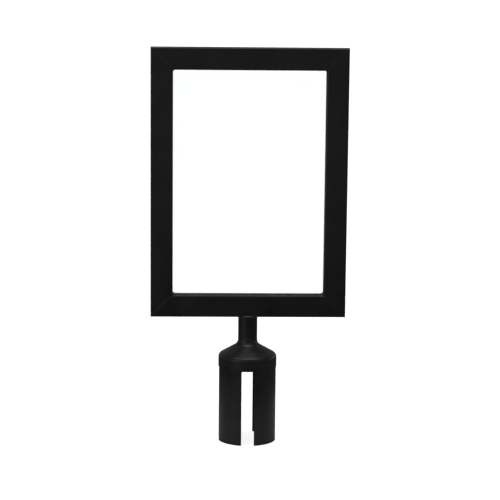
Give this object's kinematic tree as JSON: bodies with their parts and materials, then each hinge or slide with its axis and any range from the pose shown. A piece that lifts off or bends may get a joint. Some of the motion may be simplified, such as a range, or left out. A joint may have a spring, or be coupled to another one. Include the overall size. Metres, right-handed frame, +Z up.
{
  "type": "post-top sign frame",
  "caption": "Portrait sheet frame on a short neck with a slotted cup that drops over a belt-barrier post; clear windows slide out upwards.",
  "frame": {"origin": "centre of the cup's mouth, in the plane of its rim", "axes": "+Z up along the cup and neck, front of the frame towards -Y, +X to the viewer's right of the front"},
  "size_m": [0.253, 0.076, 0.513],
  "materials": {
    "frame_coat": "satin black powder coat on steel box section",
    "cup_coat": "satin black powder coat on steel tube",
    "weld_coat": "satin black powder coat over dressed weld",
    "guide_plastic": "matt black extruded plastic",
    "clear_acrylic": "clear polished acrylic sheet",
    "pad_rubber": "matt black rubber sheet"
  },
  "bodies": {
    "holder": {"top_rail": "frame_coat", "bottom_rail": "frame_coat", "left_stile": "frame_coat", "right_stile": "frame_coat", "corner_weld_top_left": "weld_coat", "corner_weld_top_right": "weld_coat", "corner_weld_bottom_left": "weld_coat", "corner_weld_bottom_right": "weld_coat", "left_glazing_channel": "guide_plastic", "right_glazing_channel": "guide_plastic", "bottom_glazing_channel": "guide_plastic", "neck_tube": "cup_coat", "neck_rail_weld": "weld_coat", "neck_crown_weld": "weld_coat", "crown": "cup_coat", "crown_skirt_weld": "weld_coat", "skirt": "cup_coat", "post_stop_pad": "pad_rubber"},
    "front_pane": {"front_window": "clear_acrylic"},
    "rear_pane": {"rear_window": "clear_acrylic"}
  },
  "joints": [
    {"name": "front_window_lift", "type": "slide", "parent": "holder", "child": "front_pane", "axis": [0, 0, 1], "range_m": [0, 0.32]},
    {"name": "rear_window_lift", "type": "slide", "parent": "holder", "child": "rear_pane", "axis": [0, 0, 1], "range_m": [0, 0.32]}
  ]
}
